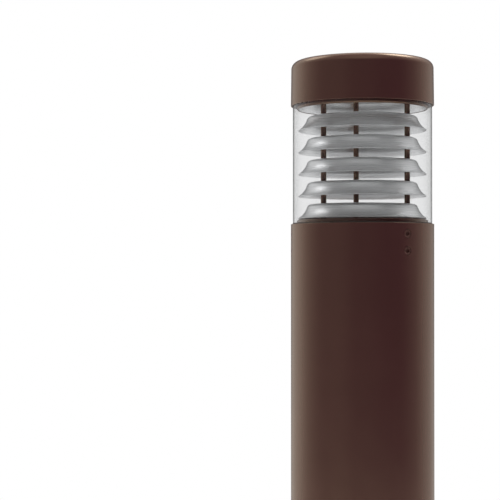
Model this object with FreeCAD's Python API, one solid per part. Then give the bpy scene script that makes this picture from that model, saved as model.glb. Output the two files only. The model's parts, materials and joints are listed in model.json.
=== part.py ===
import FreeCAD, Part
import math
import os

from FreeCAD import Vector

# Louvred bollard light, millimetres, +Z up, origin on the ground at the middle of the shaft.
# The post (anchor base, shaft, screw collar) stands still; the head lifts out of it in one piece.

# ---------------------------------------------------------------- overall
TOTAL_HEIGHT = 1067.0
OUTER_R = 82.55
SHAFT_WALL = 3.2
SHAFT_TOP = 879.0
SHAFT_BORE_R = OUTER_R - SHAFT_WALL
SLIDE_GAP = 0.3            # between the lifting head and the post
THREAD_GAP = 0.05          # between a screw's thread and its tapped hole
CLEARANCE = 0.1            # between a pin and the hole it passes through

# ---------------------------------------------------------------- anchor base
BASE_R = SHAFT_BORE_R - 0.45
BASE_PLATE = 12.0
BASE_HEIGHT = 55.0
BASE_RING_WALL = 8.9
CABLE_HOLE_R = 30.0
ANCHOR_CIRCLE_R = 50.8
ANCHOR_HOLE_R = 5.55
ANCHOR_COUNT = 4
BASE_SCREW_Z = 35.0
BASE_SCREW_ANGLES = (0.0, 120.0, 240.0)

# ---------------------------------------------------------------- set screws
SET_SCREW_R = 4.76
SET_SCREW_SUNK = 0.15      # outer end below the shaft's surface
SET_SOCKET_ACROSS_FLATS = 4.76
SET_SOCKET_DEPTH = 4.5
HEAD_SCREW_ANGLES = (60.0, 180.0, 300.0)
HEAD_SCREW_DROPS = (12.2, 31.2)

# ---------------------------------------------------------------- collar, head base
PLATE_THICKNESS = 6.0
COLLAR_TOP = SHAFT_TOP - PLATE_THICKNESS
COLLAR_BOTTOM = COLLAR_TOP - 34.0
COLLAR_BORE_R = 72.55
SPIGOT_R = COLLAR_BORE_R - SLIDE_GAP
SPIGOT_WALL = 6.0
LENS_SEAT_R = 75.7
LENS_SEAT_WALL = 5.0
LENS_SEAT_HEIGHT = 5.2
LENS_SEAT_BEVEL_WIDTH = 2.0      # of the slope on its outer top edge
LENS_SEAT_BEVEL_HEIGHT = 1.1

# ---------------------------------------------------------------- lens
LENS_R = 80.25
LENS_BORE_R = 76.25
LOWER_GASKET = 1.2
UPPER_GASKET = 1.5
LENS_TOP = SHAFT_TOP + 142.0

# ---------------------------------------------------------------- louvres
LOUVRE_COUNT = 5
LOUVRE_PITCH = 25.4
LOUVRE_FIRST_RIM = SHAFT_TOP + 6.9
LOUVRE_RIM_R = 74.0
LOUVRE_RIM_ANGLE = 31.0    # slope of the flare at its rim, degrees from level
LOUVRE_NECK_ANGLE = 71.0   # slope where the flare turns into the shoulder
LOUVRE_FLARE_R = 23.2
LOUVRE_SHOULDER_R = 5.4
LOUVRE_SHEET = 1.0
LOUVRE_HOLE_R = 46.0
LOUVRE_FLARE_RISE = LOUVRE_FLARE_R * (
    math.cos(math.radians(LOUVRE_RIM_ANGLE)) - math.cos(math.radians(LOUVRE_NECK_ANGLE)))
LOUVRE_HEIGHT = LOUVRE_FLARE_RISE + LOUVRE_SHOULDER_R * (1 - math.cos(math.radians(LOUVRE_NECK_ANGLE)))

# ---------------------------------------------------------------- tie rods and spacers
ROD_CIRCLE_R = 55.25
ROD_ANGLES = {"tie_rod_left": 210.0, "tie_rod_right": 330.0, "wire_tube": 90.0}
ROD_R = 2.38
WIRE_TUBE_BORE_R = 1.75
SPACER_R = 3.175
ROD_FOOT = COLLAR_TOP - 6.5
WASHER_R = 5.5
WASHER_THICKNESS = 1.0
NUT_HEIGHT = 4.0
NUT_ACROSS_FLATS = 8.0

# ---------------------------------------------------------------- top carrier
CARRIER_LIP_BOTTOM = SHAFT_TOP + 132.6
CARRIER_LIP_R = 75.7
CARRIER_LIP_BORE_R = 74.4
CARRIER_FLANGE_R = 80.4
CARRIER_THROAT_R = 66.5
CARRIER_PLATE = 4.0
CARRIER_PLATE_BOTTOM = LOUVRE_FIRST_RIM + LOUVRE_COUNT * LOUVRE_PITCH + LOUVRE_HEIGHT
CARRIER_TOP = CARRIER_PLATE_BOTTOM + CARRIER_PLATE
CARRIER_HOLE_R = 44.0

# ---------------------------------------------------------------- cap
CAP_BOTTOM = SHAFT_TOP + 136.7
CAP_DRAFT = 0.7
CAP_FILLET = 9.0
CAP_TOP_THICKNESS = 4.0
CAP_BORE_R = 79.0
CAP_LENS_BORE_R = 80.7
CAP_GASKET = 1.5
CAP_INNER_FILLET = 5.5
CAP_BOSS_R = 4.5
CAP_BOSS_CIRCLE_R = 70.6
TOP_ANGLES = (30.0, 150.0, 270.0)
M4_R = 2.0
M4_HEAD_R = 3.4
M4_HEAD_HEIGHT = 3.0

# ---------------------------------------------------------------- light engine
DIFFUSER_R = 49.3
DIFFUSER_THICKNESS = 2.5
RING_BORE_R = 45.0
RING_R = 51.8
RING_THICKNESS = 1.5
RING_EAR_CIRCLE_R = 56.5
RING_EAR_R = 5.0
BOARD_Z = SHAFT_TOP + 167.0
BOARD_R = 37.0
BOARD_THICKNESS = 1.6
BOARD_SCREW_CIRCLE_R = 33.0
CHIP_SIZE = 3.5
CHIP_HEIGHT = 0.9
CHIP_RINGS = ((6, 11.0), (12, 23.0))   # how many chips, ring radius
SINK_R = 48.0
SINK_BASE = 3.4
SINK_TOP = TOTAL_HEIGHT - CAP_TOP_THICKNESS - 0.5
SINK_SCREW_CIRCLE_R = 43.0
FIN_THICKNESS = 2.0
FIN_PITCH = 8.0
M3_R = 1.5
M3_HEAD_R = 2.7
M3_HEAD_HEIGHT = 1.6

# ---------------------------------------------------------------- driver and wiring
BRACKET_SHEET = 2.0
BRACKET_WIDTH = 64.0
BRACKET_Y = -14.0          # face that carries the driver
BRACKET_FOOT = 26.0
BRACKET_BOTTOM = 705.0
BRACKET_SCREW_X = 20.0
DRIVER_WIDTH = 52.0
DRIVER_DEPTH = 34.0
DRIVER_BOTTOM = 742.0
DRIVER_TOP = 822.0
DRIVER_FOOT = 9.0
DRIVER_FILLET = 4.0
DRIVER_SCREW_X = 20.0
FOOT_SHEET = 1.5
TERMINAL_WIDTH = 42.0
TERMINAL_DEPTH = 18.0
TERMINAL_BOTTOM = 714.0
TERMINAL_TOP = 733.0
TERMINAL_POLES = 3
TERMINAL_PITCH = 10.0
EAR_WIDTH = 8.0
EAR_THICKNESS = 3.0
GROUND_SCREW_Z = 850.0
LEAD_R = 0.75
LEAD_OFFSET = 0.82         # each LED lead, from the middle of the wire tube
LEAD_BEND_R = 9.0
LEAD_DRIVER_Y = 12.0
LEAD_CROSS_Z = 846.0
BOARD_PAD_Y = 31.0
INPUT_LEAD_R = 1.4
INPUT_LEAD_Y = 8.0         # in front of the bracket


def polar(radius, angle, z=0.0):
    """A point at a radius and an angle (degrees) about the vertical axis."""
    turn = math.radians(angle)
    return Vector(radius * math.cos(turn), radius * math.sin(turn), z)


def cylinder(radius, low, high, centre=Vector(0, 0, 0)):
    """An upright cylinder between two heights."""
    return Part.makeCylinder(radius, high - low, Vector(centre.x, centre.y, low))


def tube(bore, radius, low, high, centre=Vector(0, 0, 0)):
    """An upright tube between two heights."""
    return cylinder(radius, low, high, centre).cut(cylinder(bore, low - 1, high + 1, centre))


def block(x_low, x_high, y_low, y_high, z_low, z_high):
    """A box given by its limits."""
    return Part.makeBox(x_high - x_low, y_high - y_low, z_high - z_low, Vector(x_low, y_low, z_low))


def hexagon_prism(across_flats, low, high, centre=Vector(0, 0, 0)):
    """An upright hexagonal prism."""
    corner_r = across_flats / math.sqrt(3)
    corners = [polar(corner_r, 60 * k, low) + Vector(centre.x, centre.y, 0) for k in range(7)]
    return Part.Face(Part.makePolygon(corners)).extrude(Vector(0, 0, high - low))


def lathe(edges):
    """The solid of revolution of a closed outline drawn in the XZ plane."""
    outline = Part.Wire(Part.__sortEdges__(edges))
    solid = Part.Face(outline).revolve(Vector(0, 0, 0), Vector(0, 0, 1), 360)
    return Part.makeSolid(solid) if solid.ShapeType != "Solid" else solid


def rz(radius, z):
    """A point of a lathe outline."""
    return Vector(radius, 0, z)


def lathe_polygon(points):
    """The solid of revolution of a closed polygon of (radius, height) corners."""
    corners = [rz(radius, z) for radius, z in points]
    corners.append(corners[0])
    edges = [Part.makeLine(a, b) for a, b in zip(corners, corners[1:])]
    return lathe(edges)


def arc(centre, radius, start, end):
    """An arc of a lathe outline, with its angles in degrees from the radial direction."""
    def spot(angle):
        turn = math.radians(angle)
        return centre + Vector(radius * math.cos(turn), 0, radius * math.sin(turn))
    return Part.Arc(spot(start), spot((start + end) / 2), spot(end)).toShape()


def lathe_path(items):
    """The solid of revolution of arcs and corners, in order, with straight lines between them."""
    edges = []
    ends = []
    for item in items:
        if isinstance(item, Vector):
            ends.append((item, item))
        else:
            edges.append(item)
            ends.append((item.Curve.value(item.FirstParameter), item.Curve.value(item.LastParameter)))
    for here, there in zip(ends, ends[1:] + ends[:1]):
        if here[1].distanceToPoint(there[0]) > 1e-6:
            edges.append(Part.makeLine(here[1], there[0]))
    return lathe(edges)


def screw(radius, head_r, head_height, length, seat, down=True):
    """A cap screw with a hexagon socket; seat is where its head meets the work."""
    solid = cylinder(head_r, -head_height, 0).fuse(cylinder(radius, 0, length))
    socket = hexagon_prism(head_r * 0.95, -head_height - 1, -head_height * 0.4)
    solid = solid.cut(socket)
    if down:
        solid.rotate(Vector(0, 0, 0), Vector(1, 0, 0), 180)
    solid.translate(seat)
    return solid


def set_screw(inner_r, outer_r, angle, z):
    """A radial set screw with its socket outwards."""
    length = outer_r - inner_r
    body = Part.makeCone(SET_SCREW_R - 1.2, SET_SCREW_R, 1.2)
    body = body.fuse(cylinder(SET_SCREW_R, 1.2, length))
    socket = hexagon_prism(SET_SOCKET_ACROSS_FLATS, length - SET_SOCKET_DEPTH, length + 1)
    body = body.cut(socket)
    body.rotate(Vector(0, 0, 0), Vector(0, 1, 0), 90)
    body.translate(Vector(inner_r, 0, z))
    body.rotate(Vector(0, 0, 0), Vector(0, 0, 1), angle)
    return body


def radial_hole(radius, inner_r, outer_r, angle, z):
    """A cutter for a hole along a radius."""
    start = polar(inner_r, angle, z)
    return Part.makeCylinder(radius, outer_r - inner_r, start, polar(1, angle))


def head_screw_places():
    """The angle and height of each of the six screws that hold the head."""
    return [(angle, SHAFT_TOP - drop) for angle in HEAD_SCREW_ANGLES for drop in HEAD_SCREW_DROPS]


# ================================================================ post
def make_anchor_base():
    ring_bore_r = BASE_R - BASE_RING_WALL
    base = lathe_polygon([
        (CABLE_HOLE_R, 0), (BASE_R, 0), (BASE_R, BASE_HEIGHT),
        (ring_bore_r, BASE_HEIGHT), (ring_bore_r, BASE_PLATE), (CABLE_HOLE_R, BASE_PLATE)])
    for k in range(ANCHOR_COUNT):
        centre = polar(ANCHOR_CIRCLE_R, 45 + 360 * k / ANCHOR_COUNT)
        base = base.cut(cylinder(ANCHOR_HOLE_R, -1, BASE_PLATE + 1, centre))
    for angle in BASE_SCREW_ANGLES:
        hole = radial_hole(SET_SCREW_R + THREAD_GAP, ring_bore_r - 3, BASE_R + 1, angle, BASE_SCREW_Z)
        base = base.cut(hole)
    return base


def make_anchor_base_screws():
    inner_r = BASE_R - BASE_RING_WALL
    outer_r = OUTER_R - SET_SCREW_SUNK
    return [set_screw(inner_r, outer_r, angle, BASE_SCREW_Z) for angle in BASE_SCREW_ANGLES]


def make_shaft():
    shaft = tube(SHAFT_BORE_R, OUTER_R, 0, SHAFT_TOP)
    places = head_screw_places() + [(angle, BASE_SCREW_Z) for angle in BASE_SCREW_ANGLES]
    for angle, z in places:
        hole = radial_hole(SET_SCREW_R + CLEARANCE, SHAFT_BORE_R - 5, OUTER_R + 5, angle, z)
        shaft = shaft.cut(hole)
    return shaft


def make_screw_collar():
    collar = tube(COLLAR_BORE_R, SHAFT_BORE_R - CLEARANCE, COLLAR_BOTTOM, COLLAR_TOP)
    for angle, z in head_screw_places():
        hole = radial_hole(SET_SCREW_R + THREAD_GAP, COLLAR_BORE_R - 5, SHAFT_BORE_R + 5, angle, z)
        collar = collar.cut(hole)
    return collar


def make_head_set_screws():
    inner_r = COLLAR_BORE_R + CLEARANCE
    outer_r = OUTER_R - SET_SCREW_SUNK
    return [set_screw(inner_r, outer_r, angle, z) for angle, z in head_screw_places()]


# ================================================================ head base and lens
def make_head_base():
    seat_bore_r = LENS_SEAT_R - LENS_SEAT_WALL
    seat_top = SHAFT_TOP + LENS_SEAT_HEIGHT
    spigot_bore_r = SPIGOT_R - SPIGOT_WALL
    base = lathe_polygon([
        (0, COLLAR_TOP), (spigot_bore_r, COLLAR_TOP), (spigot_bore_r, COLLAR_BOTTOM),
        (SPIGOT_R, COLLAR_BOTTOM), (SPIGOT_R, COLLAR_TOP), (SHAFT_BORE_R - SLIDE_GAP, COLLAR_TOP),
        (SHAFT_BORE_R - SLIDE_GAP, SHAFT_TOP), (LENS_SEAT_R, SHAFT_TOP),
        (LENS_SEAT_R, seat_top - LENS_SEAT_BEVEL_HEIGHT),
        (LENS_SEAT_R - LENS_SEAT_BEVEL_WIDTH, seat_top), (seat_bore_r, seat_top),
        (seat_bore_r, SHAFT_TOP), (0, SHAFT_TOP)])
    for angle in ROD_ANGLES.values():
        hole = cylinder(ROD_R + CLEARANCE, COLLAR_TOP - 1, SHAFT_TOP + 1, polar(ROD_CIRCLE_R, angle))
        base = base.cut(hole)
    for seat in bracket_screw_seats():
        base = base.cut(cylinder(M4_R + THREAD_GAP, COLLAR_TOP - 1, COLLAR_TOP + 5, seat))
    return base


def make_lens():
    return tube(LENS_BORE_R, LENS_R, SHAFT_TOP + LOWER_GASKET, LENS_TOP)


def make_lower_lens_gasket():
    return tube(LENS_BORE_R - 0.25, LENS_R + 0.15, SHAFT_TOP, SHAFT_TOP + LOWER_GASKET)


def make_upper_lens_gasket():
    return tube(LENS_BORE_R + 0.05, LENS_R - 0.05, LENS_TOP, LENS_TOP + UPPER_GASKET)


# ================================================================ louvres
def louvre_curves(depth):
    """The flare and shoulder arcs of a louvre, at a depth below its outer skin, rim at height 0."""
    rim = math.radians(LOUVRE_RIM_ANGLE)
    neck = math.radians(LOUVRE_NECK_ANGLE)
    flare_centre = rz(LOUVRE_RIM_R + LOUVRE_FLARE_R * math.sin(rim), LOUVRE_FLARE_R * math.cos(rim))
    neck_point = flare_centre - Vector(math.sin(neck), 0, math.cos(neck)) * LOUVRE_FLARE_R
    shoulder_centre = neck_point - Vector(math.sin(neck), 0, math.cos(neck)) * LOUVRE_SHOULDER_R
    flare = arc(flare_centre, LOUVRE_FLARE_R + depth, 270 - LOUVRE_RIM_ANGLE, 270 - LOUVRE_NECK_ANGLE)
    shoulder = arc(shoulder_centre, LOUVRE_SHOULDER_R - depth, 90 - LOUVRE_NECK_ANGLE, 90)
    return flare, shoulder


def make_louvre(rim_z):
    """One spun louvre: a flat ring with a round shoulder and a flared skirt."""
    skin_flare, skin_shoulder = louvre_curves(0)
    inner_flare, inner_shoulder = louvre_curves(LOUVRE_SHEET)
    louvre = lathe_path([
        skin_flare, skin_shoulder, rz(LOUVRE_HOLE_R, LOUVRE_HEIGHT),
        rz(LOUVRE_HOLE_R, LOUVRE_HEIGHT - LOUVRE_SHEET),
        reverse_arc(inner_shoulder), reverse_arc(inner_flare)])
    for angle in ROD_ANGLES.values():
        rod_hole = cylinder(ROD_R + CLEARANCE, 0, LOUVRE_HEIGHT + 1, polar(ROD_CIRCLE_R, angle))
        louvre = louvre.cut(rod_hole)
    louvre.translate(Vector(0, 0, rim_z))
    return louvre


def reverse_arc(edge):
    """The same arc, run from its other end."""
    middle = (edge.FirstParameter + edge.LastParameter) / 2
    points = [edge.Curve.value(edge.LastParameter), edge.Curve.value(middle)]
    points.append(edge.Curve.value(edge.FirstParameter))
    return Part.Arc(*points).toShape()


def louvre_rims():
    """Rim heights from the lowest louvre up; the last is the top reflector's."""
    return [LOUVRE_FIRST_RIM + k * LOUVRE_PITCH for k in range(LOUVRE_COUNT + 1)]


def make_spacer_row(low, high):
    """Three sleeves, one on each rod, that hold two louvres apart."""
    centres = [polar(ROD_CIRCLE_R, angle) for angle in ROD_ANGLES.values()]
    return [tube(ROD_R + CLEARANCE, SPACER_R, low, high, centre) for centre in centres]


def spacer_rows():
    """The low and high end of each row of spacers."""
    rims = louvre_rims()
    lows = [SHAFT_TOP] + [rim + LOUVRE_HEIGHT for rim in rims[:-1]]
    highs = [rim + LOUVRE_HEIGHT - LOUVRE_SHEET for rim in rims]
    return list(zip(lows, highs))


# ================================================================ tie rods
def make_tie_rod(angle):
    return cylinder(ROD_R, ROD_FOOT, CARRIER_TOP, polar(ROD_CIRCLE_R, angle))


def make_wire_tube():
    centre = polar(ROD_CIRCLE_R, ROD_ANGLES["wire_tube"])
    return tube(WIRE_TUBE_BORE_R, ROD_R, ROD_FOOT, CARRIER_TOP + 1, centre)


def make_wire_bushing():
    """A rubber bushing on the foot of the wire tube, so its edge can't cut the leads."""
    centre = polar(ROD_CIRCLE_R, ROD_ANGLES["wire_tube"])
    sleeve = tube(ROD_R + THREAD_GAP, 3.4, ROD_FOOT, ROD_FOOT + 1.2, centre)
    lip = tube(WIRE_TUBE_BORE_R, 3.4, ROD_FOOT - 3, ROD_FOOT, centre)
    return sleeve.fuse(lip).removeSplitter()


def make_rod_washers():
    centres = [polar(ROD_CIRCLE_R, angle) for angle in ROD_ANGLES.values()]
    low = COLLAR_TOP - WASHER_THICKNESS
    return [tube(ROD_R + CLEARANCE, WASHER_R, low, COLLAR_TOP, centre) for centre in centres]


def make_rod_nuts():
    high = COLLAR_TOP - WASHER_THICKNESS
    nuts = []
    for angle in ROD_ANGLES.values():
        centre = polar(ROD_CIRCLE_R, angle)
        nut = hexagon_prism(NUT_ACROSS_FLATS, high - NUT_HEIGHT, high, centre)
        nuts.append(nut.cut(cylinder(ROD_R + THREAD_GAP, high - NUT_HEIGHT - 1, high + 1, centre)))
    return nuts


# ================================================================ top carrier and cap
def make_top_carrier():
    """The casting inside the cap: it locates the lens, holds the rods and carries the diffuser."""
    flange_bottom = LENS_TOP + UPPER_GASKET
    plate_bottom = CARRIER_PLATE_BOTTOM
    carrier = lathe_polygon([
        (CARRIER_LIP_BORE_R, CARRIER_LIP_BOTTOM), (CARRIER_LIP_R - 0.7, CARRIER_LIP_BOTTOM),
        (CARRIER_LIP_R, CARRIER_LIP_BOTTOM + 2), (CARRIER_LIP_R, flange_bottom),
        (CARRIER_FLANGE_R, flange_bottom), (CARRIER_FLANGE_R, CARRIER_TOP),
        (CARRIER_HOLE_R, CARRIER_TOP), (CARRIER_HOLE_R, plate_bottom),
        (CARRIER_THROAT_R, plate_bottom), (CARRIER_THROAT_R, flange_bottom),
        (CARRIER_LIP_BORE_R, flange_bottom)])
    for angle in TOP_ANGLES:
        pad_centre = polar(RING_EAR_CIRCLE_R, angle)
        pad = cylinder(RING_EAR_R, CARRIER_TOP, CARRIER_TOP + DIFFUSER_THICKNESS, pad_centre)
        pad = pad.cut(cylinder(DIFFUSER_R + 0.5, CARRIER_TOP, CARRIER_TOP + DIFFUSER_THICKNESS))
        carrier = carrier.fuse(pad)
        tapped = cylinder(M3_R + THREAD_GAP, plate_bottom - 1, CARRIER_TOP + 5, pad_centre)
        carrier = carrier.cut(tapped)
        screw_centre = polar(CAP_BOSS_CIRCLE_R, angle)
        through = cylinder(M4_R + CLEARANCE, flange_bottom - 1, CARRIER_TOP + 1, screw_centre)
        counterbore = cylinder(
            M4_HEAD_R + CLEARANCE, flange_bottom - 1, flange_bottom + M4_HEAD_HEIGHT, screw_centre)
        carrier = carrier.cut(through).cut(counterbore)
    for angle in ROD_ANGLES.values():
        tapped = cylinder(
            ROD_R + THREAD_GAP, plate_bottom - 1, CARRIER_TOP + 1, polar(ROD_CIRCLE_R, angle))
        carrier = carrier.cut(tapped)
    return carrier.removeSplitter()


def make_cap():
    """The cap: a cast shell with a small draft, a round top edge and bosses for its screws."""
    draft = math.radians(CAP_DRAFT)
    centre_z = TOTAL_HEIGHT - CAP_FILLET
    wall_r = OUTER_R - (centre_z - CAP_BOTTOM) * math.tan(draft)
    centre = rz(wall_r - CAP_FILLET / math.cos(draft), centre_z)
    crown = arc(centre, CAP_FILLET, CAP_DRAFT, 90)
    ceiling = TOTAL_HEIGHT - CAP_TOP_THICKNESS
    step = CARRIER_TOP + CAP_GASKET
    inner_centre = rz(CAP_BORE_R - CAP_INNER_FILLET, ceiling - CAP_INNER_FILLET)
    inner_crown = reverse_arc(arc(inner_centre, CAP_INNER_FILLET, 0, 90))
    cap = lathe_path([
        rz(CAP_LENS_BORE_R, CAP_BOTTOM), rz(OUTER_R, CAP_BOTTOM), crown, rz(0, TOTAL_HEIGHT),
        rz(0, ceiling), inner_crown, rz(CAP_BORE_R, step), rz(CAP_LENS_BORE_R, step)])
    for angle in TOP_ANGLES:
        boss_centre = polar(CAP_BOSS_CIRCLE_R, angle)
        cap = cap.fuse(cylinder(CAP_BOSS_R, CARRIER_TOP, ceiling + 1, boss_centre))
        cap = cap.cut(cylinder(M4_R + THREAD_GAP, CARRIER_TOP - 1, CARRIER_TOP + 16, boss_centre))
        post_centre = polar(SINK_SCREW_CIRCLE_R, angle)
        cap = cap.fuse(cylinder(CAP_BOSS_R, sink_floor(), ceiling + 1, post_centre))
        cap = cap.cut(cylinder(M3_R + THREAD_GAP, sink_floor() - 1, ceiling - 2, post_centre))
    return cap.removeSplitter()


def make_cap_gasket():
    return tube(CAP_BORE_R + 0.1, CARRIER_FLANGE_R, CARRIER_TOP, CARRIER_TOP + CAP_GASKET)


def make_cap_screws():
    seat_z = LENS_TOP + UPPER_GASKET + M4_HEAD_HEIGHT
    seats = [polar(CAP_BOSS_CIRCLE_R, angle, seat_z) for angle in TOP_ANGLES]
    return [screw(M4_R, M4_HEAD_R, M4_HEAD_HEIGHT, 20, seat, down=False) for seat in seats]


# ================================================================ light engine
def sink_floor():
    """The top face of the heat sink's base disc, where the cap's posts stand on it."""
    return BOARD_Z + BOARD_THICKNESS + SINK_BASE


def make_heat_sink():
    low = BOARD_Z + BOARD_THICKNESS
    floor = sink_floor()
    sink = cylinder(SINK_R, low, floor)
    envelope = cylinder(SINK_R - 1, floor - 1, SINK_TOP)
    fin_count = 2 * int(SINK_R / FIN_PITCH) - 1
    for k in range(fin_count):
        x = (k - (fin_count - 1) / 2) * FIN_PITCH
        fin = block(x - FIN_THICKNESS / 2, x + FIN_THICKNESS / 2, -SINK_R, SINK_R, floor - 1, SINK_TOP)
        sink = sink.fuse(fin.common(envelope))
    for angle in TOP_ANGLES:
        post_centre = polar(SINK_SCREW_CIRCLE_R, angle)
        sink = sink.cut(cylinder(CAP_BOSS_R + 0.8, floor, SINK_TOP + 1, post_centre))
        sink = sink.cut(cylinder(M3_R + CLEARANCE, low - 1, floor + 1, post_centre))
        board_screw_centre = polar(BOARD_SCREW_CIRCLE_R, angle)
        sink = sink.cut(cylinder(M3_R + THREAD_GAP, low - 1, floor, board_screw_centre))
    return sink.removeSplitter()


def make_heat_sink_screws():
    seats = [polar(SINK_SCREW_CIRCLE_R, angle, BOARD_Z + BOARD_THICKNESS) for angle in TOP_ANGLES]
    return [screw(M3_R, M3_HEAD_R, M3_HEAD_HEIGHT, 10, seat, down=False) for seat in seats]


def make_led_board():
    board = cylinder(BOARD_R, BOARD_Z, BOARD_Z + BOARD_THICKNESS)
    for angle in TOP_ANGLES:
        hole_centre = polar(BOARD_SCREW_CIRCLE_R, angle)
        board = board.cut(cylinder(M3_R + CLEARANCE, BOARD_Z - 1, BOARD_Z + 5, hole_centre))
    return board


def make_led_board_screws():
    seats = [polar(BOARD_SCREW_CIRCLE_R, angle, BOARD_Z) for angle in TOP_ANGLES]
    return [screw(M3_R, M3_HEAD_R, M3_HEAD_HEIGHT, 4.6, seat, down=False) for seat in seats]


def make_led_chips():
    chips = []
    half = CHIP_SIZE / 2
    for count, radius in CHIP_RINGS:
        for k in range(count):
            chip = block(radius - half, radius + half, -half, half, BOARD_Z - CHIP_HEIGHT, BOARD_Z)
            chip.rotate(Vector(0, 0, 0), Vector(0, 0, 1), 360 * (k + 0.5) / count)
            chips.append(chip)
    return chips


def make_diffuser():
    return cylinder(DIFFUSER_R, CARRIER_TOP, CARRIER_TOP + DIFFUSER_THICKNESS)


def make_diffuser_ring():
    low = CARRIER_TOP + DIFFUSER_THICKNESS
    high = low + RING_THICKNESS
    ring = cylinder(RING_R, low, high)
    for angle in TOP_ANGLES:
        ring = ring.fuse(cylinder(RING_EAR_R, low, high, polar(RING_EAR_CIRCLE_R, angle)))
        ring = ring.cut(cylinder(M3_R + CLEARANCE, low - 1, high + 1, polar(RING_EAR_CIRCLE_R, angle)))
    return ring.cut(cylinder(RING_BORE_R, low - 1, high + 1)).removeSplitter()


def make_diffuser_ring_screws():
    seat_z = CARRIER_TOP + DIFFUSER_THICKNESS + RING_THICKNESS
    seats = [polar(RING_EAR_CIRCLE_R, angle, seat_z) for angle in TOP_ANGLES]
    return [screw(M3_R, M3_HEAD_R, M3_HEAD_HEIGHT, 6, seat) for seat in seats]


# ================================================================ driver bracket
def bracket_screw_seats():
    """Where the bracket's two screws stand under the head base."""
    y = BRACKET_Y - BRACKET_FOOT / 2
    return [Vector(side * BRACKET_SCREW_X, y, COLLAR_TOP - BRACKET_SHEET) for side in (-1, 1)]


def driver_screw_seats():
    """Where the driver's two feet are screwed to the bracket."""
    heights = (DRIVER_BOTTOM - DRIVER_FOOT / 2, DRIVER_TOP + DRIVER_FOOT / 2)
    y = BRACKET_Y + FOOT_SHEET
    return [Vector(-DRIVER_SCREW_X, y, heights[0]), Vector(DRIVER_SCREW_X, y, heights[1])]


def terminal_screw_seats():
    """Where the terminal block's two ears are screwed to the bracket."""
    z = (TERMINAL_BOTTOM + TERMINAL_TOP) / 2
    x = TERMINAL_WIDTH / 2 + EAR_WIDTH / 2
    return [Vector(side * x, BRACKET_Y + EAR_THICKNESS, z) for side in (-1, 1)]


def ground_screw_seat():
    return Vector(BRACKET_WIDTH / 2 - 8, BRACKET_Y, GROUND_SCREW_Z)


def along_y(shape, seat):
    """Turn an upright piece to point along -Y and put it at its seat."""
    shape.rotate(Vector(0, 0, 0), Vector(1, 0, 0), 90)
    shape.translate(seat)
    return shape


def face_screw(seat, length):
    """A small screw driven along -Y into the bracket."""
    return along_y(screw(M3_R, M3_HEAD_R, M3_HEAD_HEIGHT, length, Vector(0, 0, 0), down=False), seat)


def crosswise_hole(radius, seat):
    """A cutter along Y, right through whatever stands at the bracket's face."""
    start = Vector(seat.x, BRACKET_Y - 10, seat.z)
    return Part.makeCylinder(radius, 20, start, Vector(0, 1, 0))


def make_driver_bracket():
    half = BRACKET_WIDTH / 2
    back = BRACKET_Y - BRACKET_SHEET
    bracket = block(-half, half, back, BRACKET_Y, BRACKET_BOTTOM, COLLAR_TOP)
    foot = block(-half, half, BRACKET_Y - BRACKET_FOOT, back, COLLAR_TOP - BRACKET_SHEET, COLLAR_TOP)
    bracket = bracket.fuse(foot)
    for seat in bracket_screw_seats():
        bracket = bracket.cut(cylinder(M4_R + CLEARANCE, COLLAR_TOP - 5, COLLAR_TOP + 1, seat))
    for seat in driver_screw_seats() + terminal_screw_seats() + [ground_screw_seat()]:
        bracket = bracket.cut(crosswise_hole(M3_R + THREAD_GAP, seat))
    return bracket.removeSplitter()


def make_bracket_screws():
    return [screw(M4_R, M4_HEAD_R, M4_HEAD_HEIGHT, 6.5, seat, down=False)
            for seat in bracket_screw_seats()]


def make_led_driver():
    half = DRIVER_WIDTH / 2
    case = block(-half, half, BRACKET_Y, BRACKET_Y + DRIVER_DEPTH, DRIVER_BOTTOM, DRIVER_TOP)
    front_edges = [edge for edge in case.Edges
                   if edge.BoundBox.ZLength > 1 and edge.BoundBox.YMax > BRACKET_Y + 1]
    case = case.makeFillet(DRIVER_FILLET, front_edges)
    for seat, low in zip(driver_screw_seats(), (DRIVER_BOTTOM - DRIVER_FOOT, DRIVER_TOP)):
        foot = block(seat.x - 6, seat.x + 6, BRACKET_Y, BRACKET_Y + FOOT_SHEET, low, low + DRIVER_FOOT)
        case = case.fuse(foot).cut(crosswise_hole(M3_R + CLEARANCE, seat))
    return case.removeSplitter()


def make_driver_screws():
    return [face_screw(seat, 6) for seat in driver_screw_seats()]


def make_terminal_block():
    half = TERMINAL_WIDTH / 2
    body = block(-half, half, BRACKET_Y, BRACKET_Y + TERMINAL_DEPTH, TERMINAL_BOTTOM, TERMINAL_TOP)
    for k in range(TERMINAL_POLES):
        x = (k - (TERMINAL_POLES - 1) / 2) * TERMINAL_PITCH
        well_start = Vector(x, BRACKET_Y + TERMINAL_DEPTH - 5, TERMINAL_BOTTOM + 7)
        well = Part.makeCylinder(2.6, 6, well_start, Vector(0, 1, 0))
        wire_centre = Vector(x, BRACKET_Y + INPUT_LEAD_Y, 0)
        wire_hole = cylinder(2.0, TERMINAL_BOTTOM - 1, TERMINAL_BOTTOM + 5, wire_centre)
        body = body.cut(well).cut(wire_hole)
    for seat in terminal_screw_seats():
        ear = block(seat.x - EAR_WIDTH / 2, seat.x + EAR_WIDTH / 2, BRACKET_Y, BRACKET_Y + EAR_THICKNESS,
                    TERMINAL_BOTTOM + 2, TERMINAL_TOP - 2)
        body = body.fuse(ear).cut(crosswise_hole(M3_R + CLEARANCE, seat))
    return body.removeSplitter()


def make_terminal_block_screws():
    return [face_screw(seat, 8) for seat in terminal_screw_seats()]


def make_ground_screw():
    return face_screw(ground_screw_seat(), 7)


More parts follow.
